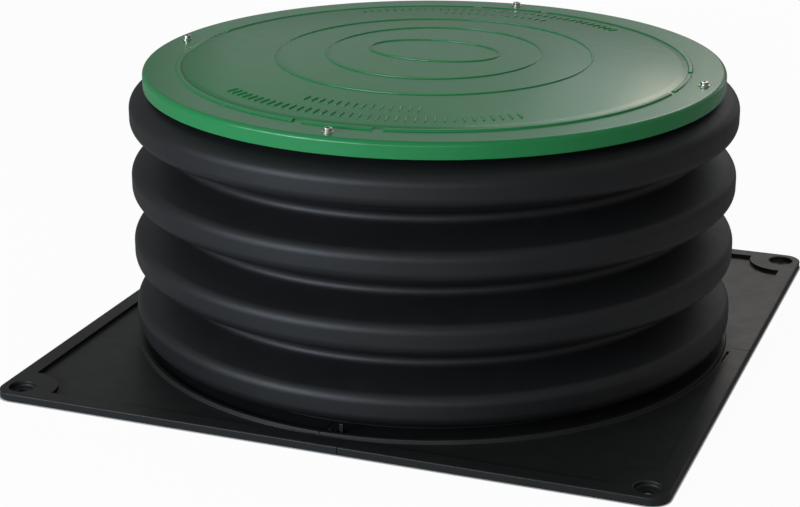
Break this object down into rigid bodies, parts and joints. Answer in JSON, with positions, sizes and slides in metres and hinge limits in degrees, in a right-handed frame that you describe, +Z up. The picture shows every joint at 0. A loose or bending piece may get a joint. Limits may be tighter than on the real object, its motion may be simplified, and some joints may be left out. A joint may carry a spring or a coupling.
{
  "type": "septic tank riser",
  "caption": "Round corrugated pipe riser on a square base plate of latched quadrants, closed by a screwed domed lid, for access to a septic tank.",
  "frame": {"origin": "centre of the underside of the square base", "axes": "+Z up along the pipe, +X to the right and -Y to the front along the sides of the base; the oval bead of the lid is long along X"},
  "size_m": [0.762, 0.762, 0.3427],
  "materials": {
    "pipe_plastic": "extruded black polyethylene, satin",
    "base_plastic": "injection-moulded black plastic, fine satin grain",
    "lid_plastic": "moulded green polyethylene, satin with a fine grain",
    "seal_rubber": "black butyl rubber, dull",
    "gasket_foam": "dark grey closed-cell foam, dull",
    "screw_steel": "bright stainless steel"
  },
  "bodies": {
    "root": {"base_quadrant_1": "base_plastic", "base_quadrant_2": "base_plastic", "base_quadrant_3": "base_plastic", "base_quadrant_4": "base_plastic", "riser_pipe": "pipe_plastic", "base_seal": "seal_rubber", "lid_gasket": "gasket_foam", "lid": "lid_plastic", "lid_screw_1": "screw_steel", "lid_screw_2": "screw_steel", "lid_screw_3": "screw_steel", "lid_screw_4": "screw_steel", "collar_screw_1": "screw_steel", "collar_screw_2": "screw_steel", "collar_screw_3": "screw_steel", "collar_screw_4": "screw_steel", "collar_screw_5": "screw_steel", "collar_screw_6": "screw_steel", "collar_screw_7": "screw_steel", "collar_screw_8": "screw_steel"}
  },
  "joints": []
}
